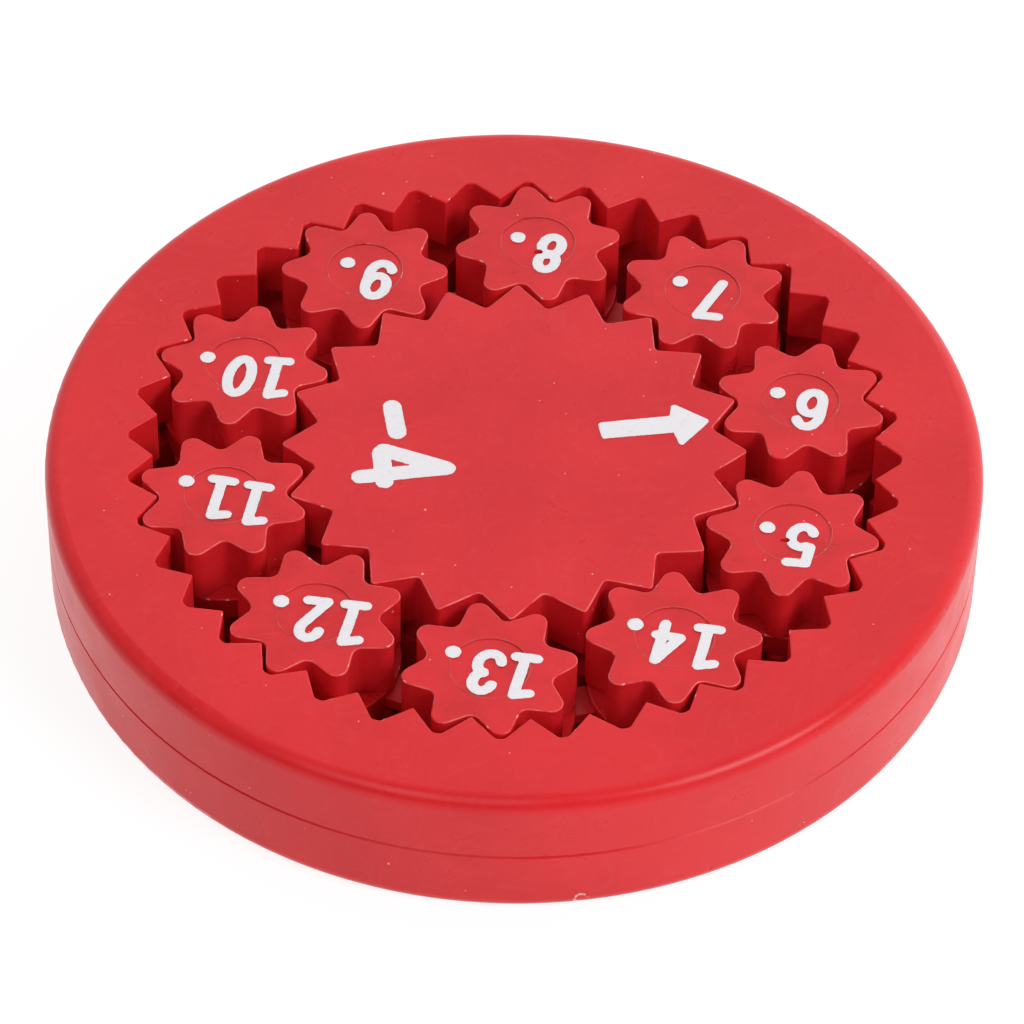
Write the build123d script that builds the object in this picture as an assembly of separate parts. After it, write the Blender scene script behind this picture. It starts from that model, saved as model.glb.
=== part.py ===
from build123d import *
import math
import os

# A hand spinner made as a closed planetary gear train. A round casing carries an internal
# ring gear, a sun gear turns in the middle, and ten planet gears roll between the two.
# The frame's origin is the centre of the casing's back face, and +Z points out of the front.
# Lengths are in millimetres and angles in degrees.

# Overall size
CASING_RADIUS = 40.0
THICKNESS = 13.3
MID = THICKNESS / 2

# Gear train. Meshing at one common pitch, these wheels would ask for 20 + 2 x 8 = 36 ring teeth.
# The ring has 40, and the loose mesh lets eight rounded planet teeth run with it all the same.
PLANET_COUNT = 10
PLANET_TEETH = 8
SUN_TEETH = 20
RING_TEETH = 40
ORBIT_RADIUS = 25.3

# How the train stands at rest. At zero turn a space of the ring, a space of the sun and a
# tooth of the first planet lie on one line. The sun has then turned by SUN_TURN.
CASING_TURN = 7.57
SUN_TURN = 19.3
ORBIT_PER_SUN = SUN_TEETH / (SUN_TEETH + RING_TEETH)
PLANET_SPIN_PER_SUN = -ORBIT_PER_SUN * RING_TEETH / PLANET_TEETH
FIRST_PLANET_NUMBER = 6
PLANET_NUMBERS = 10
LOWEST_PLANET_NUMBER = 5

# Tooth outlines: (radius of the tip corners, radius of the root corner, flat at the tip as a
# share of the pitch, rounding at the tip, rounding at the root). The ring's are its spaces.
PLANET_TOOTH = (8.4, 5.15, 0.0, 1.0, 0.85)
SUN_TOOTH = (19.93, 17.01, 0.0, 0.33, 0.5)
RING_SPACE = (32.95, 30.75, 0.14, 0.5, 0.15)
TOOTH_EDGE = 0.14

# Planet cage: a thick disc under each planet, with narrow links between the discs
CAGE_DISC_RADIUS = 7.1
CAGE_DISC_THICKNESS = 2.3
CAGE_LINK_WIDTH = 3.0
CAGE_LINK_THICKNESS = 1.1
CAGE_EDGE = 0.12
GROOVE_GAP = 0.15
GROOVE_HALF_HEIGHT = CAGE_DISC_THICKNESS / 2 + GROOVE_GAP

# Casing halves
RIM_ROUND = 1.35
CASING_WALL = 2.0
CASING_DECK = 2.2
RING_WALL_RADIUS = 34.9
CASING_GROOVE_RADIUS = 33.15
SEAM_CHAMFER = 0.16
TONGUE_THICKNESS = 0.8
TONGUE_HEIGHT = 0.8
TONGUE_GAP = 0.08
CASING_PEGS = 8
CASING_PEG_RADIUS = 1.0
CASING_BOSS_RADIUS = 1.75
CASING_RIB = 1.0

# Sun halves
GEAR_RELIEF = 0.05
SUN_DECK = 2.0
SUN_GROOVE_RADIUS = 17.1
SUN_HOLLOW_RADIUS = 15.0
SUN_HUB_RADIUS = 3.6
SUN_POSTS = 5
SUN_POST_RADIUS = 2.2
SUN_POST_PITCH_RADIUS = 9.6
SUN_PEG_RADIUS = 1.3
SUN_RIB = 1.2
RIB_SETBACK = 1.6

# Planet halves
PLANET_GAP = 0.1
PLANET_DECK = 2.0
PLANET_HUB_RADIUS = 3.0
PLANET_HOLLOW_RADIUS = 4.2
PLANET_PIN_RADIUS = 1.6
PLANET_PIN_HEIGHT = 4.4
PIN_CHAMFER = 0.3
CORE_MARK_RADIUS = 3.27
CORE_MARK_DEPTH = 0.08

# Torn moulding gates: a pit in the front face of two planets, as (x, y) from the planet's axis,
# with its long side along READING_TURN, the direction in which the numbers are read
GATE_PITS = {5: (-0.69, -0.89), 8: (0.03, -1.21)}
GATE_PIT_LENGTH = 0.8
GATE_PIT_WIDTH = 0.34
GATE_PIT_DEPTH = 0.3
READING_TURN = 174.5

# Fits
HUB_CLEARANCE = 0.05
PEG_CLEARANCE = 0.04
PEG_LENGTH = 2.6
SOCKET_DEPTH = 3.0
PIN_END_GAP = 0.2

# How far a rib or a tongue runs into the wall that it grows out of
ROOTED = 0.5

# Two lengths that differ by less than this are the same
SAME = 0.001


def polar(radius, angle):
    return (radius * math.cos(math.radians(angle)), radius * math.sin(math.radians(angle)))


def toothed_outline(teeth, tooth):
    """Outline of a toothed wheel with a tooth on +X, every corner rounded."""
    tip_radius, root_radius, tip_flat, tip_round, root_round = tooth
    pitch = 360 / teeth
    half_flat = pitch * tip_flat / 2
    points = []
    for index in range(teeth):
        middle = index * pitch
        points.append(polar(tip_radius, middle - half_flat))
        if half_flat > 0:
            points.append(polar(tip_radius, middle + half_flat))
        points.append(polar(root_radius, middle + pitch / 2))
    outline = make_face(Polyline(*points, close=True))
    outline = fillet(corners_near(outline, tip_radius), tip_round)
    return fillet(corners_near(outline, root_radius), root_round)


def corners_near(outline, radius):
    """The corners of an outline that lie at one distance from its centre."""
    return [
        corner
        for corner in outline.vertices()
        if abs(math.hypot(corner.X, corner.Y) - radius) < SAME
    ]


def disc(radius, low, high):
    """A plain round plate from one height to another."""
    return Pos(0, 0, low) * extrude(Circle(radius), high - low)


def plate(outline, low, high):
    """The given outline as a plate from one height to another."""
    return Pos(0, 0, low) * extrude(outline, high - low)


def around(count, radius, start=0.0):
    """Places evenly spaced on a circle, each turned to face outwards."""
    return [Rot(0, 0, start + 360 * index / count) * Pos(radius, 0, 0) for index in range(count)]


def edges_at(solid, height, inside=math.inf):
    """All edges that lie flat at one height, with their ends nearer the axis than a radius."""
    return [
        edge
        for edge in solid.edges().filter_by_position(Axis.Z, height - SAME, height + SAME)
        if all(math.hypot(end.X, end.Y) < inside for end in edge.vertices())
    ]


def to_back(solid):
    """Mirror a front half about the middle plane, to stand as a back half."""
    return mirror(solid, Plane.XY.offset(MID))


# ---------------------------------------------------------------- casing


def casing_shell():
    """Front half of the casing: an outer wall, a deck and the ring gear's wall."""
    top = THICKNESS
    shell = disc(CASING_RADIUS, MID, top)
    shell = fillet(edges_at(shell, top), RIM_ROUND)
    shell = chamfer(edges_at(shell, MID), SEAM_CHAMFER)
    shell -= plate(toothed_outline(RING_TEETH, RING_SPACE), MID, top)
    tooth_edges = edges_at(shell, top, inside=CASING_GROOVE_RADIUS)
    shell = fillet(tooth_edges, TOOTH_EDGE)
    shell -= disc(CASING_GROOVE_RADIUS, MID, MID + GROOVE_HALF_HEIGHT)
    channel = disc(CASING_RADIUS - CASING_WALL, MID, top - CASING_DECK)
    channel -= disc(RING_WALL_RADIUS, MID, top - CASING_DECK)
    return shell - channel


def casing_stiffeners(rib_low):
    """Bosses and ribs that cross the channel between the casing's two walls."""
    top = THICKNESS - CASING_DECK
    middle_radius = (RING_WALL_RADIUS + CASING_RADIUS - CASING_WALL) / 2
    width = CASING_RADIUS - CASING_WALL - RING_WALL_RADIUS
    parts = []
    for place in around(CASING_PEGS, middle_radius):
        parts.append(place * disc(CASING_BOSS_RADIUS, MID, top))
    for place in around(CASING_PEGS, middle_radius, start=180 / CASING_PEGS):
        rib = Box(width + 2 * ROOTED, CASING_RIB, top - rib_low)
        parts.append(place * Pos(0, 0, (top + rib_low) / 2) * rib)
    ring = disc(CASING_RADIUS - CASING_WALL / 2, MID, top)
    ring -= disc(RING_WALL_RADIUS - ROOTED, MID, top)
    return [part & ring for part in parts]


def casing_halves():
    """The two casing halves, with pegs and a tongue on the front one."""
    middle_radius = (RING_WALL_RADIUS + CASING_RADIUS - CASING_WALL) / 2
    inner_wall = CASING_RADIUS - CASING_WALL
    shell = casing_shell()
    for part in casing_stiffeners(MID + RIB_SETBACK):
        shell += part
    front = shell
    back = to_back(shell)
    for place in around(CASING_PEGS, middle_radius):
        peg = disc(CASING_PEG_RADIUS, MID - PEG_LENGTH, MID)
        peg = chamfer(edges_at(peg, MID - PEG_LENGTH), PIN_CHAMFER)
        front += place * peg
        socket = disc(CASING_PEG_RADIUS + PEG_CLEARANCE, MID - SOCKET_DEPTH, MID)
        back -= place * socket
    tongue = disc(inner_wall + TONGUE_THICKNESS, MID - TONGUE_HEIGHT, MID + ROOTED)
    tongue -= disc(inner_wall, MID - TONGUE_HEIGHT, MID + ROOTED)
    rebate = disc(inner_wall + TONGUE_THICKNESS + TONGUE_GAP, MID - TONGUE_HEIGHT - TONGUE_GAP, MID)
    rebate -= disc(inner_wall - TONGUE_GAP, MID - TONGUE_HEIGHT - TONGUE_GAP, MID)
    return front + tongue, back - rebate


# ---------------------------------------------------------------- sun gear


def sun_shell():
    """Front half of the sun gear: a toothed rim, a deck, a hub, posts and ribs."""
    top = THICKNESS - GEAR_RELIEF
    under_deck = top - SUN_DECK
    teeth = plate(toothed_outline(SUN_TEETH, SUN_TOOTH), MID + GROOVE_HALF_HEIGHT, top)
    teeth = Rot(0, 0, 180 / SUN_TEETH) * fillet(edges_at(teeth, top), TOOTH_EDGE)
    shell = teeth + disc(SUN_GROOVE_RADIUS, MID, under_deck)
    shell -= disc(SUN_HOLLOW_RADIUS, MID, under_deck)
    shell += disc(SUN_HUB_RADIUS, MID, under_deck)
    for place in around(SUN_POSTS, SUN_POST_PITCH_RADIUS):
        shell += place * disc(SUN_POST_RADIUS, MID, under_deck)
    rib_low = MID + RIB_SETBACK
    for place in around(SUN_POSTS, (SUN_HUB_RADIUS + SUN_HOLLOW_RADIUS) / 2, start=180 / SUN_POSTS):
        rib = Box(SUN_HOLLOW_RADIUS - SUN_HUB_RADIUS + 2 * ROOTED, SUN_RIB, under_deck - rib_low)
        shell += place * Pos(0, 0, (under_deck + rib_low) / 2) * rib
    return shell


def sun_halves():
    """The two sun halves, with pegs on the back one and sockets in the front one."""
    front = sun_shell()
    back = to_back(front)
    places = around(SUN_POSTS, SUN_POST_PITCH_RADIUS) + [Pos(0, 0, 0)]
    for place in places:
        peg = disc(SUN_PEG_RADIUS, MID, MID + PEG_LENGTH)
        peg = chamfer(edges_at(peg, MID + PEG_LENGTH), PIN_CHAMFER)
        back += place * peg
        front -= place * disc(SUN_PEG_RADIUS + PEG_CLEARANCE, MID, MID + SOCKET_DEPTH)
    turn = Rot(0, 0, CASING_TURN + SUN_TURN)
    return turn * front, turn * back


# ---------------------------------------------------------------- planet cage


def planet_cage():
    """One flat moulding: a bored disc for each planet, linked to its neighbours."""
    low = MID - CAGE_DISC_THICKNESS / 2
    high = MID + CAGE_DISC_THICKNESS / 2
    start = CASING_TURN + SUN_TURN * ORBIT_PER_SUN
    places = around(PLANET_COUNT, ORBIT_RADIUS, start)
    one_disc = disc(CAGE_DISC_RADIUS, low, high)
    one_disc = fillet(edges_at(one_disc, high) + edges_at(one_disc, low), CAGE_EDGE)
    step = 180 / PLANET_COUNT
    link_radius = ORBIT_RADIUS * math.cos(math.radians(step))
    link_length = 2 * ORBIT_RADIUS * math.sin(math.radians(step)) - CAGE_DISC_RADIUS
    cage = places[0] * one_disc
    for place in places[1:]:
        cage += place * one_disc
    for place in around(PLANET_COUNT, link_radius, start + step):
        cage += place * Pos(0, 0, MID) * Box(CAGE_LINK_WIDTH, link_length, CAGE_LINK_THICKNESS)
    for place in places:
        cage -= place * disc(PLANET_HUB_RADIUS + HUB_CLEARANCE, low, high)
    return cage


# ---------------------------------------------------------------- planets




def planet_toothed_half():
    """A toothed cup with a hub in the middle, closed by the planet's face."""
    top = THICKNESS - GEAR_RELIEF
    low = MID + CAGE_DISC_THICKNESS / 2 + PLANET_GAP
    under_deck = top - PLANET_DECK
    solid = plate(toothed_outline(PLANET_TEETH, PLANET_TOOTH), low, top)
    solid = fillet(edges_at(solid, top), TOOTH_EDGE)
    solid -= disc(PLANET_HOLLOW_RADIUS, low, under_deck)
    solid += disc(PLANET_HUB_RADIUS, low, under_deck)
    return solid - disc(CORE_MARK_RADIUS, top - CORE_MARK_DEPTH, top)


def planet_halves():
    """Front half with a bored hub that passes the cage, back half with the pin for it."""
    low = MID + CAGE_DISC_THICKNESS / 2 + PLANET_GAP
    meeting = THICKNESS - low
    front = planet_toothed_half()
    back = to_back(front)
    front += disc(PLANET_HUB_RADIUS, meeting, low)
    bore_top = meeting + PLANET_PIN_HEIGHT + PIN_END_GAP
    front -= disc(PLANET_PIN_RADIUS + PEG_CLEARANCE, meeting, bore_top)
    pin = disc(PLANET_PIN_RADIUS, meeting, meeting + PLANET_PIN_HEIGHT)
    pin = chamfer(edges_at(pin, meeting + PLANET_PIN_HEIGHT), PIN_CHAMFER)
    return front, back + pin


def gate_pit(place, offset):
    """A small blind slot in the face of the planet that stands at a place."""
    face = THICKNESS - GEAR_RELIEF - CORE_MARK_DEPTH
    slot = extrude(SlotOverall(GATE_PIT_LENGTH, GATE_PIT_WIDTH), GATE_PIT_DEPTH)
    centre = place.position
    to_pit = Pos(centre.X + offset[0], centre.Y + offset[1], face - GATE_PIT_DEPTH)
    return to_pit * Rot(0, 0, READING_TURN) * slot


def planet_places():
    """Where each numbered planet stands at rest, and how far it has turned on its hub."""
    spin = Rot(0, 0, PLANET_SPIN_PER_SUN * SUN_TURN)
    start = CASING_TURN + SUN_TURN * ORBIT_PER_SUN
    places = {}
    for index, place in enumerate(around(PLANET_COUNT, ORBIT_RADIUS, start)):
        offset = (FIRST_PLANET_NUMBER - LOWEST_PLANET_NUMBER + index) % PLANET_NUMBERS
        places[LOWEST_PLANET_NUMBER + offset] = place * spin
    return places


# ---------------------------------------------------------------- all the parts

nodes = {}
casing_turn = Rot(0, 0, CASING_TURN)
casing_front, casing_back = casing_halves()
nodes["casing_front"] = casing_turn * casing_front
nodes["casing_back"] = casing_turn * casing_back
nodes["sun_front"], nodes["sun_back"] = sun_halves()
nodes["planet_cage"] = planet_cage()
planet_front, planet_back = planet_halves()
for number, place in planet_places().items():
    nodes[f"planet_{number}_front"] = place * planet_front
    nodes[f"planet_{number}_back"] = place * planet_back
    if number in GATE_PITS:
        nodes[f"planet_{number}_front"] -= gate_pit(place, GATE_PITS[number])

os.makedirs("parts", exist_ok=True)
for name, shape in nodes.items():
    export_step(shape, f"parts/{name}.step")
print(len(nodes), "nodes written")
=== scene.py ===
import math
import bpy
import numpy as np
from mathutils import Matrix, Vector
from mathutils.geometry import delaunay_2d_cdt


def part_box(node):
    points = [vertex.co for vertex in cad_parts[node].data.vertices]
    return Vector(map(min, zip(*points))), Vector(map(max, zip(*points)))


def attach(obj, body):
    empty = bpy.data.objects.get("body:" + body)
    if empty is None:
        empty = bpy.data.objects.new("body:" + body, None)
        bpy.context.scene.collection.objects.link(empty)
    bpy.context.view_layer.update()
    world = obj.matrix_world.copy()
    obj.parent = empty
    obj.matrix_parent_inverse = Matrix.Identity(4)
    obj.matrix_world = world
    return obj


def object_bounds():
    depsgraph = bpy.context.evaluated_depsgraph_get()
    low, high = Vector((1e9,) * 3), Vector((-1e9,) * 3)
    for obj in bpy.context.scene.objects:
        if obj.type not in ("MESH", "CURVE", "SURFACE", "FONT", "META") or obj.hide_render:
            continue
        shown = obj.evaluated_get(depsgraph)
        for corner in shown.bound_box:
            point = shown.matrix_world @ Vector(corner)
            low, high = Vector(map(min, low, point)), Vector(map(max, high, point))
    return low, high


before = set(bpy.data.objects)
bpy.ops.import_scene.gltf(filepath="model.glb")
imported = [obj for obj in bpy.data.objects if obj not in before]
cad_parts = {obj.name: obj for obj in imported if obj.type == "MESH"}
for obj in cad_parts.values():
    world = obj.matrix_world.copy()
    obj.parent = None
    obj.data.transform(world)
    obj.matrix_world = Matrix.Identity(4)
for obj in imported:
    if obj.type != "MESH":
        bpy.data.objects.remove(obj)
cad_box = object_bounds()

# A red number spinner: a planetary gear train with printed gears, on a plain white floor.
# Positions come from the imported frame, in metres. Prints are drawn in millimetres.

MM = 0.001
TINY = 1e-9
THICKNESS = cad_box[1].z - cad_box[0].z
RADIUS = (cad_box[1].x - cad_box[0].x) / 2
NUMBERS = range(5, 15)

# Which way the numbers read, as a turn about +Z
READING_TURN = math.radians(174.5)


class Nodes:
    """Shorthand for wiring one node tree."""

    def __init__(self, tree):
        self.tree = tree
        self.coordinates = tree.nodes.new("ShaderNodeTexCoord").outputs
        self.place = self.coordinates["Object"]

    def add(self, kind, inputs, output=0, **settings):
        """Add a node, set or link its inputs, and return one of its outputs."""
        node = self.tree.nodes.new(kind)
        for key, value in settings.items():
            setattr(node, key, value)
        for key, value in inputs.items():
            if isinstance(value, bpy.types.NodeSocket):
                self.tree.links.new(value, node.inputs[key])
            else:
                node.inputs[key].default_value = value
        return node.outputs[output]

    def noise(self, scale, detail=2.0, roughness=0.5, place=None):
        """Soft random variation; scale is in cells per metre."""
        inputs = {"Vector": place or self.place, "Scale": scale, "Detail": detail, "Roughness": roughness}
        return self.add("ShaderNodeTexNoise", inputs)

    def ramp(self, value, low, high, to_low=0.0, to_high=1.0):
        """A smooth step from to_low at low to to_high at high."""
        inputs = {"Value": value, "From Min": low, "From Max": high, "To Min": to_low, "To Max": to_high}
        return self.add("ShaderNodeMapRange", inputs, interpolation_type="SMOOTHSTEP")

    def math(self, operation, one, other=0.0):
        return self.add("ShaderNodeMath", {0: one, 1: other}, operation=operation)

    def mix(self, factor, one, other):
        """One colour at factor 0, the other at factor 1."""
        inputs = {0: factor, 6: one, 7: other}
        return self.add("ShaderNodeMix", inputs, output=2, data_type="RGBA")


class Surface(Nodes):
    """One material's nodes, with the marks that handling leaves on it."""

    def __init__(self, name):
        self.material = bpy.data.materials.new(name)
        self.material.use_nodes = True
        super().__init__(self.material.node_tree)
        self.shader = self.tree.nodes["Principled BSDF"]

    def scratches(self, turn, threshold):
        """Fine straight scuffs along one direction: 1 on a scuff, 0 elsewhere."""
        inputs = {"Vector": self.place, "Rotation": (0, 0, turn), "Scale": (300, 3600, 300)}
        stretched = self.add("ShaderNodeMapping", inputs)
        lines = self.noise(1.0, 3.0, 0.6, stretched)
        patches = self.ramp(self.noise(90, 2.0), 0.5, 0.68)
        return self.math("MULTIPLY", self.ramp(lines, threshold, threshold + 0.05), patches)

    def specks(self, scale, radius, rarity):
        """Tiny dots of dust, burr or pore: 1 in a dot, 0 elsewhere."""
        inputs = {"Vector": self.place, "Scale": scale}
        distance = self.add("ShaderNodeTexVoronoi", inputs)
        pick = self.add("ShaderNodeTexVoronoi", inputs, output=1)
        chosen = self.math("GREATER_THAN", self.add("ShaderNodeSeparateColor", {0: pick}), rarity)
        return self.math("MULTIPLY", self.ramp(distance, radius, radius * 0.6), chosen)

    def link(self, socket, output):
        """Drive one of the shader's inputs."""
        self.tree.links.new(output, self.shader.inputs[socket])

    def bump(self, strength, depth, height):
        """Raise and lower the surface by a height pattern, up to depth."""
        inputs = {"Strength": strength, "Distance": depth, "Height": height}
        self.link("Normal", self.add("ShaderNodeBump", inputs))


# ---------------------------------------------------------------- camera, lights and floor

# The view: how high the camera looks from, its roll, its distance from the front face, and how far
# right of and above the middle of the view the face's centre stands, as tangents
VIEW_ELEVATION = math.radians(45.89)
VIEW_BACK = Vector((0, -math.cos(VIEW_ELEVATION), math.sin(VIEW_ELEVATION)))
VIEW_ROLL = math.radians(0.89)
VIEW_DISTANCE = 0.4604
AIM_RIGHT = 0.00048
AIM_UP = 0.01212
LENS = 190
SENSOR = 36

# The floor: a square sheet that glows where the spinner doesn't cover it
FLOOR_HALF = 3
FLOOR_GLOW = 0.86
FLOOR_GREY = (0.2, 0.2, 0.2, 1)

# How bright the room is on each side
ROOM_FRONT = 0.28
ROOM_BACK = 1.5
ROOM_LEFT = 0.55
ROOM_RIGHT = 1.1


def make_camera():
    """A long lens looking down at the front face, a little rolled."""
    right = Vector((1, 0, 0))
    up = Vector((0, math.sin(VIEW_ELEVATION), math.cos(VIEW_ELEVATION)))
    right_rolled = right * math.cos(VIEW_ROLL) + up * math.sin(VIEW_ROLL)
    up_rolled = up * math.cos(VIEW_ROLL) - right * math.sin(VIEW_ROLL)
    forward = (-VIEW_BACK - right_rolled * AIM_RIGHT - up_rolled * AIM_UP).normalized()
    across = forward.cross(up_rolled).normalized()
    turn = Matrix((across, across.cross(forward), -forward)).transposed()
    data = bpy.data.cameras.new("camera")
    data.lens = LENS
    data.sensor_width = SENSOR
    data.clip_start = 0.01
    data.clip_end = 10
    camera = bpy.data.objects.new("camera", data)
    bpy.context.scene.collection.objects.link(camera)
    place = Vector((0, 0, THICKNESS)) + VIEW_BACK * VIEW_DISTANCE
    camera.matrix_world = Matrix.Translation(place) @ turn.to_4x4()
    bpy.context.scene.camera = camera


def softbox(name, place, size, power):
    """A square area light aimed at the spinner."""
    data = bpy.data.lights.new(name, "AREA")
    data.size = size
    data.energy = power
    light = bpy.data.objects.new(name, data)
    light.location = place
    light.rotation_euler = (-Vector(place)).to_track_quat("-Z", "Y").to_euler()
    bpy.context.scene.collection.objects.link(light)


def make_world():
    """A white studio, brighter behind than in front, with a dark place where the photographer stands."""
    world = bpy.data.worlds.new("studio")
    world.use_nodes = True
    nodes = Nodes(world.node_tree)
    direction = nodes.coordinates["Generated"]
    width = nodes.add("ShaderNodeSeparateXYZ", {0: direction}, output=0)
    depth = nodes.add("ShaderNodeSeparateXYZ", {0: direction}, output=1)
    dot = {0: direction, 1: VIEW_BACK}
    toward = nodes.add("ShaderNodeVectorMath", dot, output=1, operation="DOT_PRODUCT")
    room = nodes.ramp(depth, -0.2, 0.9, ROOM_FRONT, ROOM_BACK)
    room = nodes.math("MULTIPLY", room, nodes.ramp(width, -0.8, 0.8, ROOM_LEFT, ROOM_RIGHT))
    strength = nodes.math("MULTIPLY", room, nodes.ramp(toward, 0.72, 0.93, 1.0, 0.1))
    background = world.node_tree.nodes["Background"]
    background.inputs["Color"].default_value = (1, 1, 1, 1)
    world.node_tree.links.new(strength, background.inputs["Strength"])
    bpy.context.scene.world = world


def make_floor():
    """A wide white sheet, lit from below as a light table is, but dark where the spinner covers it."""
    mesh = bpy.data.meshes.new("floor")
    corners = [(x * FLOOR_HALF, y * FLOOR_HALF, 0) for x, y in [(-1, -1), (1, -1), (1, 1), (-1, 1)]]
    mesh.from_pydata(corners, [], [(0, 1, 2, 3)])
    floor = bpy.data.objects.new("floor", mesh)
    bpy.context.scene.collection.objects.link(floor)
    nodes = Surface("floor")
    away = nodes.add("ShaderNodeVectorMath", {0: nodes.place}, output=1, operation="LENGTH")
    glow = nodes.ramp(away, RADIUS - 3 * MM, RADIUS - 1 * MM, 0.0, FLOOR_GLOW)
    nodes.link("Emission Strength", glow)
    nodes.shader.inputs["Emission Color"].default_value = (1, 1, 1, 1)
    nodes.shader.inputs["Base Color"].default_value = FLOOR_GREY
    nodes.shader.inputs["Roughness"].default_value = 0.7
    nodes.shader.inputs["Specular IOR Level"].default_value = 0.1
    mesh.materials.append(nodes.material)


# ---------------------------------------------------------------- materials

# Each plastic's two flow colours, how fine its flow marks are in cells per metre, how strongly a
# pale highlight is painted along its rounded edges, and whether it has the graze on its wall
PLASTICS = {
    "casing": ((0.67, 0.015, 0.021, 1), (0.75, 0.020, 0.027, 1), 70, 0.05, True),
    "sun": ((0.67, 0.016, 0.024, 1), (0.74, 0.021, 0.030, 1), 95, 0.5, False),
    "planet": ((0.65, 0.015, 0.021, 1), (0.75, 0.021, 0.029, 1), 260, 0.45, False),
    # The cage's colours are darker than the other parts': painted shade for the gaps between the gears,
    # where the cage is seen
    "cage": ((0.55, 0.010, 0.015, 1), (0.62, 0.012, 0.017, 1), 150, 0.1, False),
}
SWIRL_COLOR = (0.85, 0.12, 0.12, 1)
# Painted highlight: the pale colour laid along rounded edges where light catches them
EDGE_HIGHLIGHT_COLOR = (0.95, 0.3, 0.28, 1)
SCUFF_COLOR = (0.95, 0.35, 0.35, 1)
DUST_COLOR = (0.9, 0.6, 0.58, 1)
PLASTIC_SETTINGS = {
    "IOR": 1.5,
    "Specular IOR Level": 0.27,
    "Subsurface Weight": 0.3,
    "Subsurface Radius": (1.0, 0.06, 0.06),
    "Subsurface Scale": 1.3 * MM,
}
INK_COLOR = (0.84, 0.82, 0.85, 1)
THIN_INK_COLOR = (0.83, 0.68, 0.71, 1)
PORE_COLOR = (0.78, 0.42, 0.43, 1)
INK_IOR = 1.48

# The graze on the casing's wall: its direction from the axis, its height and the curl's radius
SCUFF_TURN = math.radians(-81.3)
SCUFF_HEIGHT = 1.1 * MM
SCUFF_SIZE = 0.55 * MM


def low_scuff(nodes):
    """A small curled graze low on the casing's wall: 1 on the graze, 0 elsewhere."""
    spot = (RADIUS * math.cos(SCUFF_TURN), RADIUS * math.sin(SCUFF_TURN), SCUFF_HEIGHT)
    away = nodes.add("ShaderNodeVectorMath", {0: nodes.place, 1: spot}, output=1, operation="DISTANCE")
    wobble = nodes.ramp(nodes.noise(900), 0.0, 1.0, -0.5 * SCUFF_SIZE, 0.5 * SCUFF_SIZE)
    off = nodes.math("ABSOLUTE", nodes.math("SUBTRACT", nodes.math("ADD", away, wobble), SCUFF_SIZE))
    curl = nodes.ramp(off, 0.3 * SCUFF_SIZE, 0.1 * SCUFF_SIZE)
    return nodes.math("MULTIPLY", curl, nodes.ramp(nodes.noise(1500, 3.0), 0.42, 0.56))


def red_plastic(name, deep, bright, flow_scale, edge_highlight_amount, grazed):
    """Moulded plastic that lets in a little light, with flow marks, a painted highlight along its rounded
    edges, burrs, dust and scuffs.
    """
    nodes = Surface(name)
    normal = nodes.add("ShaderNodeNewGeometry", {}, output=1)
    tilt = nodes.math("ABSOLUTE", nodes.add("ShaderNodeSeparateXYZ", {0: normal}, output=2))
    plan = nodes.add("ShaderNodeVectorMath", {0: nodes.place, 1: (1, 1, 0)}, operation="MULTIPLY")
    away = nodes.add("ShaderNodeVectorMath", {0: plan}, output=1, operation="LENGTH")
    edge = nodes.math("MULTIPLY", nodes.ramp(tilt, 0.1, 0.4), nodes.ramp(tilt, 0.985, 0.9))
    edge = nodes.math("MULTIPLY", edge, nodes.ramp(away, RADIUS - 2 * MM, RADIUS - 3 * MM))
    flow = nodes.noise(flow_scale, 4.0, 0.55)
    color = nodes.mix(nodes.ramp(flow, 0.3, 0.7), deep, bright)
    swirl = nodes.add("ShaderNodeTexNoise", {"Vector": nodes.place, "Scale": flow_scale, "Distortion": 2.0})
    bands = nodes.math("SINE", nodes.math("MULTIPLY", swirl, 70.0))
    color = nodes.mix(nodes.ramp(bands, 0.7, 1.0, 0.0, 0.06), color, SWIRL_COLOR)
    # Painted highlight on the rounded edges, broken up by noise
    edge_highlight = nodes.math("MULTIPLY", edge, nodes.ramp(nodes.noise(700, 3.0), 0.3, 0.6))
    color = nodes.mix(nodes.math("MULTIPLY", edge_highlight, edge_highlight_amount), color, EDGE_HIGHLIGHT_COLOR)
    scuff = nodes.math("ADD", nodes.scratches(0.6, 0.62), nodes.scratches(-1.1, 0.64))
    scuff = nodes.math("MULTIPLY", scuff, nodes.ramp(tilt, 0.7, 0.95))
    color = nodes.mix(nodes.math("MULTIPLY", scuff, 0.05), color, SCUFF_COLOR)
    specks = nodes.math("ADD", nodes.specks(420, 0.06, 0.84), nodes.specks(900, 0.08, 0.88))
    burrs = nodes.math("MULTIPLY", nodes.specks(1300, 0.3, 0.62), edge)
    dust = nodes.math("ADD", specks, burrs)
    if grazed:
        dust = nodes.math("ADD", dust, low_scuff(nodes))
    dust = nodes.math("MINIMUM", dust, 1.0)
    color = nodes.mix(nodes.math("MULTIPLY", dust, 0.75), color, DUST_COLOR)
    nodes.link("Base Color", color)
    satin = nodes.ramp(nodes.noise(260, 3.0), 0.3, 0.7, 0.27, 0.36)
    nodes.link("Roughness", nodes.math("ADD", satin, nodes.math("MULTIPLY", scuff, 0.03)))
    grain = nodes.math("MULTIPLY", nodes.noise(5200, 4.0, 0.6), 0.35)
    height = nodes.math("ADD", grain, nodes.noise(1300, 2.0))
    height = nodes.math("ADD", height, nodes.math("MULTIPLY", dust, 1.5))
    height = nodes.math("SUBTRACT", height, nodes.math("MULTIPLY", scuff, 0.08))
    nodes.bump(0.25, 0.012 * MM, height)
    for socket, value in PLASTIC_SETTINGS.items():
        nodes.shader.inputs[socket].default_value = value
    return nodes.material


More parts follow.
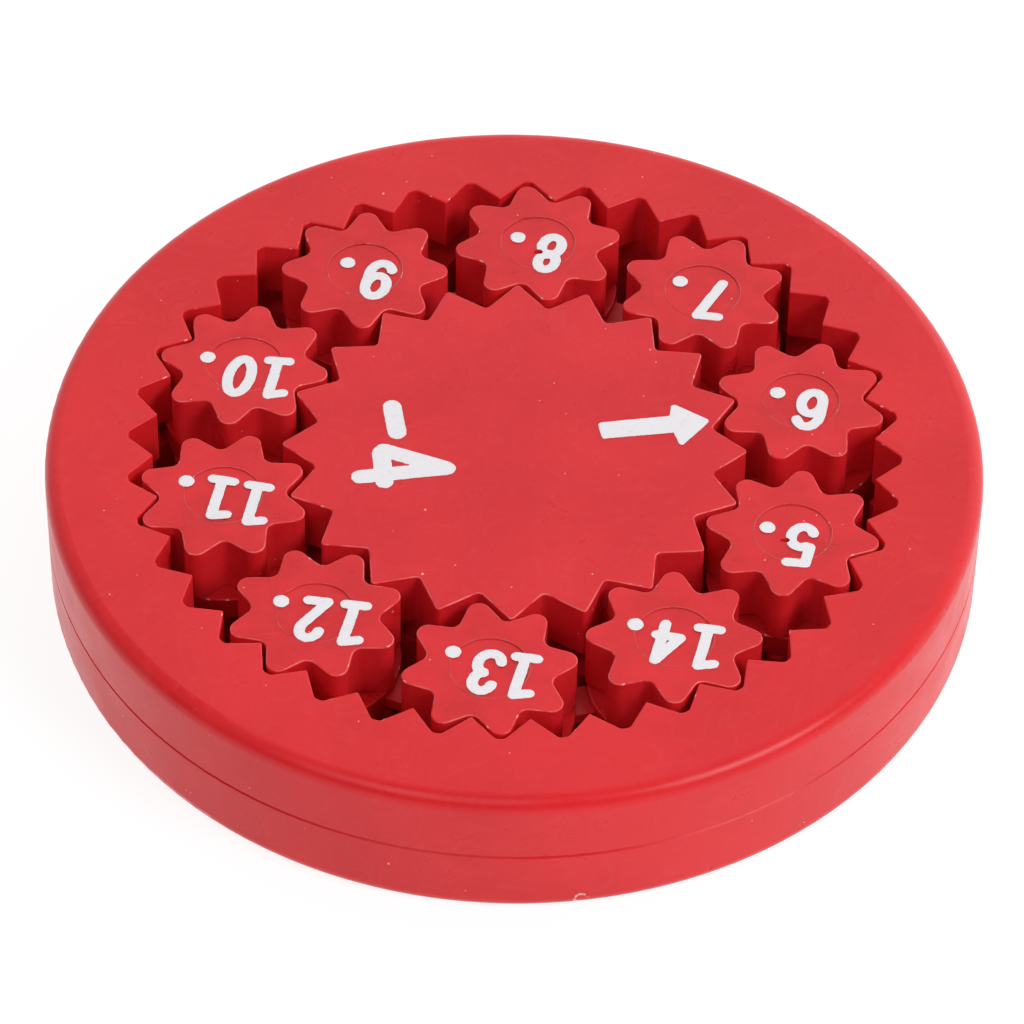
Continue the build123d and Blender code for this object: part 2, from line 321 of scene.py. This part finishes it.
def white_ink():
    """Stamped white ink: a thin film with a mottled, slightly pink tone and a fine grain."""
    nodes = Surface("white ink")
    thin = nodes.ramp(nodes.noise(2600, 4.0, 0.65), 0.52, 0.78)
    color = nodes.mix(thin, INK_COLOR, THIN_INK_COLOR)
    pores = nodes.specks(2600, 0.2, 0.9)
    color = nodes.mix(nodes.math("MULTIPLY", pores, 0.6), color, PORE_COLOR)
    nodes.link("Base Color", color)
    nodes.link("Roughness", nodes.ramp(nodes.noise(900), 0.3, 0.7, 0.42, 0.55))
    height = nodes.math("SUBTRACT", nodes.noise(4200, 3.0), pores)
    nodes.bump(0.4, 0.01 * MM, height)
    nodes.shader.inputs["IOR"].default_value = INK_IOR
    return nodes.material


# ---------------------------------------------------------------- print outlines

# A print is a list of strokes, (points, half width), in millimetres. A glyph's origin is its
# lower left corner. It is drawn upright, and then leans over. STROKE is half a stroke's width, and
# GLYPH_TOP the height of the highest stroke's middle line.
INK_HEIGHT = 0.03
INK_BEVEL = 0.03
INK_CELL = 0.07
INK_RAGGED = 0.068
SLOPE_STEP = 0.01
MERGE_DISTANCE = 1e-7
STROKE = 0.465
GLYPH_TOP = 4.64
GLYPH_HEIGHT = GLYPH_TOP + STROKE
GLYPH_MIDDLE = 1.2
ARC_STEP = 12


def arc(centre_x, centre_y, radius_x, radius_y, start, end):
    """Points along part of an ellipse, from one angle to another, in degrees."""
    steps = max(4, round(abs(end - start) / ARC_STEP))
    angles = np.radians(np.linspace(start, end, steps + 1))
    return [(centre_x + radius_x * math.cos(a), centre_y + radius_y * math.sin(a)) for a in angles]


def turned_over(lines):
    """A glyph turned upside down about its middle."""
    return [[(2 * GLYPH_MIDDLE - x, GLYPH_HEIGHT - y) for x, y in line] for line in lines]


SIX = [
    arc(1.2, 1.76, 0.9, 1.29, 0, 360),
    arc(1.28, 3.25, 0.98, GLYPH_TOP - 3.25, 25, 180) + [(0.3, 1.76)],
]
GLYPHS = {
    "0": [arc(1.15, 2.55, 0.95, 2.09, 0, 360)],
    "1": [[(0.2, 4.3), (1.42, GLYPH_TOP), (1.42, STROKE)], [(0.47, STROKE), (2.22, STROKE)]],
    "2": [arc(1.3, 3.65, 0.8, 0.99, 172, -32) + [(0.57, STROKE), (2.2, STROKE)]],
    "3": [arc(1.2, 3.6, 0.82, 1.04, 165, -75) + arc(1.15, 1.6, 0.95, 1.13, 75, -165)],
    "4": [[(1.95, STROKE), (1.95, 4.55), (0.45, 1.85), (2.42, 1.72)]],
    "5": [[(2.05, GLYPH_TOP), (0.5, GLYPH_TOP), (0.45, 2.75)] + arc(1.25, 1.65, 0.93, 1.18, 120, -155)],
    "6": SIX,
    "7": [[(0.2, GLYPH_TOP), (2.02, GLYPH_TOP), (0.55, STROKE)]],
    "8": [arc(1.22, 3.62, 0.76, 1.02, 0, 360), arc(1.18, 1.62, 0.85, 1.15, 0, 360)],
    "9": turned_over(SIX),
}
DOT_RADIUS = 0.67


def glyph_strokes(digit, left, bottom, tilt, slant):
    """A digit's strokes, leaning by slant and then turned by tilt about its lower left corner."""
    strokes = []
    for line in GLYPHS[digit]:
        leaning = np.array([(x + y * math.tan(slant), y) for x, y in line])
        turn = np.array([[math.cos(tilt), math.sin(tilt)], [-math.sin(tilt), math.cos(tilt)]])
        strokes.append((leaning @ turn + (left, bottom), STROKE))
    return strokes


def stroke_distance(points, strokes):
    """Signed distance from each point to the inked area, negative inside it."""
    nearest = np.full(len(points), np.inf)
    for line, half_width in strokes:
        line = np.asarray(line, float)
        for start, end in zip(line[:-1], line[1:]):
            along = end - start
            share = ((points - start) @ along) / max(along @ along, TINY)
            foot = start + np.clip(share, 0, 1)[:, None] * along
            nearest = np.minimum(nearest, np.hypot(*(points - foot).T) - half_width)
    return nearest


def polygon_distance(points, corners):
    """Signed distance to a closed polygon, negative inside it."""
    corners = np.asarray(corners, float)
    edge = stroke_distance(points, [(np.vstack([corners, corners[:1]]), 0.0)])
    inside = np.zeros(len(points), bool)
    for (ax, ay), (bx, by) in zip(corners, np.roll(corners, -1, axis=0)):
        crosses = (ay > points[:, 1]) != (by > points[:, 1])
        rise = by - ay if by != ay else TINY
        inside ^= crosses & (points[:, 0] < ax + (points[:, 1] - ay) * (bx - ax) / rise)
    return np.where(inside, -edge, edge)


def contour_loops(distance, low, high, seed):
    """Closed outlines of the inked area by marching squares, with a slightly ragged edge."""
    xs = np.arange(low[0], high[0] + INK_CELL, INK_CELL)
    ys = np.arange(low[1], high[1] + INK_CELL, INK_CELL)
    grid = np.stack(np.meshgrid(xs, ys, indexing="ij"), -1)
    field = distance(grid.reshape(-1, 2)).reshape(len(xs), len(ys))
    ragged = np.random.default_rng(seed).uniform(-1, 1, field.shape)
    for axis in (0, 1):
        ragged = (np.roll(ragged, 1, axis) + 2 * ragged + np.roll(ragged, -1, axis)) / 4
    field = field + INK_RAGGED * ragged
    inked = field < 0

    def crossing(one, other):
        """Where the outline crosses the line between two grid points."""
        share = field[one] / (field[one] - field[other])
        return tuple(grid[one] + (grid[other] - grid[one]) * share)

    follows = {}
    for i, j in np.argwhere(inked[:-1, :-1] | inked[1:, :-1] | inked[:-1, 1:] | inked[1:, 1:]):
        ring = [(i, j), (i + 1, j), (i + 1, j + 1), (i, j + 1)]
        cuts = [(a, b) for a, b in zip(ring, ring[1:] + ring[:1]) if inked[a] != inked[b]]
        leaving = [cut for cut in cuts if inked[cut[0]]]
        entering = [cut for cut in cuts if not inked[cut[0]]]
        for out in leaving:
            back = min(entering, key=lambda cut: (ring.index(cut[0]) - ring.index(out[0])) % 4)
            follows[frozenset(out)] = (frozenset(back), crossing(*sorted(out)))
    loops = []
    while follows:
        key, loop = next(iter(follows)), []
        while key in follows:
            key, point = follows.pop(key)
            loop.append(point)
        loops.append(np.array(loop))
    return loops


def ink_mesh(name, distance, low, high, seed):
    """A closed film of ink in its own plane: flat on top, bevelled all round its outline."""
    loops = contour_loops(distance, low, high, seed)
    outline = np.vstack(loops)
    steps = [(SLOPE_STEP, 0), (0, SLOPE_STEP)]
    slope = np.stack([distance(outline + step) - distance(outline - step) for step in steps], -1)
    slope /= np.maximum(np.hypot(*slope.T), TINY)[:, None]
    inner = outline - slope * INK_BEVEL
    edges = []
    start = 0
    for loop in loops:
        edges += [(start + i, start + (i + 1) % len(loop)) for i in range(len(loop))]
        start += len(loop)
    found = delaunay_2d_cdt([Vector(p) for p in inner], edges, [], 0, MERGE_DISTANCE)
    spots, triangles = found[0], found[2]
    centres = np.array([np.mean([spots[i] for i in t], axis=0) for t in triangles])
    keep = distance(centres) < 0
    kept = [t for t, good in zip(triangles, keep) if good]
    source = [min(origin) for origin in found[3]]
    count = len(outline)
    verts = [(x, y, 0) for x, y in outline] + [(x, y, INK_HEIGHT) for x, y in inner]
    faces = [(a, b, b + count, a + count) for a, b in edges]
    faces += [tuple(source[i] + count for i in t) for t in kept]
    faces += [tuple(source[i] for i in reversed(t)) for t in kept]
    mesh = bpy.data.meshes.new(name)
    mesh.from_pydata(verts, [], faces)
    mesh.validate()
    return mesh


def new_piece(mesh, material):
    """Put an object of one mesh and one material in the scene, under the mesh's name."""
    mesh.materials.append(material)
    piece = bpy.data.objects.new(mesh.name, mesh)
    bpy.context.scene.collection.objects.link(piece)
    return piece


def add_print(mesh, body, origin, turn, from_behind, material):
    """Lay an ink film on a gear's face, and let it ride with the gear."""
    across = Vector((math.cos(turn), math.sin(turn), 0))
    upward = Vector((-math.sin(turn), math.cos(turn), 0))
    outward = Vector((0, 0, 1))
    if from_behind:
        across, outward = -across, -outward
    place = Matrix((across, upward, outward)).transposed() * MM
    mesh.transform(Matrix.Translation(origin) @ place.to_4x4())
    piece = new_piece(mesh, material)
    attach(piece, body)


# ---------------------------------------------------------------- numbers on the planets

# Where each number stands on its planet: (left, bottom) of each digit, the line's tilt and the
# digits' slant in degrees, and the dot's centre. Lengths are in millimetres from the planet's axis,
# along the reading direction and up from it.
LAYOUT = {
    5: ([(-2.28, -1.2)], 0, 6, (2.15, -0.32)),
    6: ([(-2.37, -1.52)], 0, 6, (2.06, -0.66)),
    7: ([(-2.28, -1.58)], 0, 6, (2.06, -0.98)),
    8: ([(-2.63, -1.27)], 0, 6, (1.8, -0.41)),
    9: ([(-2.75, -1.39)], 0, 6, (1.6, -0.66)),
    10: ([(-4.34, -1.2), (-1.17, -1.07)], 1.0, 6, (3.26, -0.45)),
    11: ([(-4.27, -1.65), (-1.17, -2.0)], -5.0, 0, (3.3, -1.2)),
    12: ([(-4.65, -1.58), (-1.52, -1.68)], -1.5, 6, (2.98, -0.89)),
    13: ([(-4.34, -1.82), (-1.33, -1.97)], -2.7, 6, (3.17, -1.38)),
    14: ([(-4.24, -1.58), (-1.2, -1.68)], -1.8, 6, (3.3, -0.95)),
}
# Nicks in two prints, where a torn gate broke the ink: (x, y), and the half height
NICKS = {5: ((0.6, 0.95), 0.3), 8: ((-0.15, 1.2), 0.3)}
NICK_STRETCH = 1.5
PLANET_AREA = ((-6, -4), (6, 6))

# The backs carry the answers: the front's number less 4, laid out by how many digits it has
ANSWER_STEP = 4
ANSWER_SEED = 100
BACK_LAYOUT = {
    1: ([(-1.9, -2.4)], 0, 6, (1.9, -1.9)),
    2: ([(-3.2, -2.4), (-0.4, -2.4)], 0, 6, (3.3, -1.9)),
}


def number_strokes(digits, corners, tilt, slant, dot):
    """The strokes of a number and of the dot after it."""
    strokes = [([dot, dot], DOT_RADIUS)]
    for digit, (left, bottom) in zip(digits, corners):
        strokes += glyph_strokes(digit, left, bottom, math.radians(tilt), math.radians(slant))
    return strokes


def nicked(strokes, nick):
    """The distance to a number, with a bite taken out of it where there is a nick."""
    def distance(points):
        field = stroke_distance(points, strokes)
        if nick:
            (x, y), radius = nick
            bite = radius - np.hypot((points[:, 0] - x) / NICK_STRETCH, points[:, 1] - y)
            field = np.maximum(field, bite)
        return field
    return distance


def print_numbers(material):
    """The number on each planet's front, and the answer on its back."""
    for number in NUMBERS:
        body = f"planet_{number}"
        low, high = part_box(f"{body}_front")
        x, y, _ = (low + high) / 2
        strokes = number_strokes(str(number), *LAYOUT[number])
        mesh = ink_mesh(f"number_{number}", nicked(strokes, NICKS.get(number)), *PLANET_AREA, number)
        add_print(mesh, body, (x, y, high.z), READING_TURN, False, material)
        answer = str(number - ANSWER_STEP)
        strokes = number_strokes(answer, *BACK_LAYOUT[len(answer)])
        mesh = ink_mesh(f"answer_{number}", nicked(strokes, None), *PLANET_AREA, ANSWER_SEED + number)
        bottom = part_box(f"{body}_back")[0].z
        add_print(mesh, body, (x, y, bottom), READING_TURN, True, material)


# The core ring: its radius, its section as (outward, upward) points, and the steps round it
CORE_RING_RADIUS = 3.3
CORE_RING_SECTION = [(-0.06, 0), (-0.03, 0.02), (0.03, 0.02), (0.06, 0)]
CORE_RING_STEPS = 120


def core_ring(number, material):
    """The fine raised line that the mould's core pin leaves in the middle of a planet's face."""
    low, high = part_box(f"planet_{number}_front")
    x, y, _ = (low + high) / 2
    verts = []
    for step in range(CORE_RING_STEPS):
        turn = math.tau * step / CORE_RING_STEPS
        for out, up in CORE_RING_SECTION:
            reach = (CORE_RING_RADIUS + out) * MM
            verts.append((x + reach * math.cos(turn), y + reach * math.sin(turn), high.z + up * MM))
    size = len(CORE_RING_SECTION)
    faces = []
    for step in range(CORE_RING_STEPS):
        here, there = step * size, (step + 1) % CORE_RING_STEPS * size
        for i in range(size):
            j = (i + 1) % size
            faces.append((here + i, there + i, there + j, here + j))
    mesh = bpy.data.meshes.new(f"core_ring_{number}")
    mesh.from_pydata(verts, [], faces)
    mesh.validate()
    ring = new_piece(mesh, material)
    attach(ring, f"planet_{number}")


# ---------------------------------------------------------------- sun's arrow, sign and digit

# In millimetres from the sun's axis, along X and Y. The arrow is a polygon grown by ARROW_ROUND,
# and the sign and the 4 are lines with a half width.
ARROW = [
    (7.42, 2.8), (7.66, 1.43), (13.75, 2.3), (14.25, 0.85), (16.33, 3.42), (13.63, 5.05), (13.48, 3.75),
]
ARROW_ROUND = 0.27
SIGN = [(-10.57, 4.55), (-10.05, 1.52)]
SIGN_HALF_WIDTH = 0.8
FOUR = [(-13.04, -3.81), (-5.75, -2.64), (-11.1, -0.64), (-11.36, -0.95), (-10.98, -4.3)]
FOUR_HALF_WIDTH = 0.78
SUN_AREA = ((-16, -6), (18, 7))
SUN_BACK_AREA = ((-18, -1), (-6, 7))
SUN_SEED = 1
SUN_BACK_SEED = 2


def sun_front_distance(points):
    """Signed distance to the arrow, the sign and the 4, negative inside them."""
    arrow = polygon_distance(points, ARROW) - ARROW_ROUND
    rest = stroke_distance(points, [(SIGN, SIGN_HALF_WIDTH), (FOUR, FOUR_HALF_WIDTH)])
    return np.minimum(arrow, rest)


def sun_back_distance(points):
    """The same arrow seen from behind, so that it picks the same planet."""
    return polygon_distance(points * (-1, 1), ARROW) - ARROW_ROUND


def print_sun(material):
    """The arrow, sign and digit on the sun's front, and the arrow on its back."""
    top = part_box("sun_front")[1].z
    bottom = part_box("sun_back")[0].z
    mesh = ink_mesh("sun_print", sun_front_distance, *SUN_AREA, SUN_SEED)
    add_print(mesh, "sun", (0, 0, top), 0, False, material)
    mesh = ink_mesh("sun_back_arrow", sun_back_distance, *SUN_BACK_AREA, SUN_BACK_SEED)
    add_print(mesh, "sun", (0, 0, bottom), 0, True, material)


# ---------------------------------------------------------------- the scene

make_camera()
make_world()
softbox("key", (0.62, -0.42, 0.66), 0.4, 5.0)
softbox("fill", (-0.25, -0.55, 0.82), 0.6, 2.5)
make_floor()

finishes = {family: red_plastic(f"{family} plastic", *values) for family, values in PLASTICS.items()}
for name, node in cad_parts.items():
    family = "cage" if name == "planet_cage" else name.split("_")[0]
    node.data.materials.clear()
    node.data.materials.append(finishes[family])

for number in NUMBERS:
    core_ring(number, finishes["planet"])
ink = white_ink()
print_numbers(ink)
print_sun(ink)

bpy.context.scene.view_settings.view_transform = "Standard"
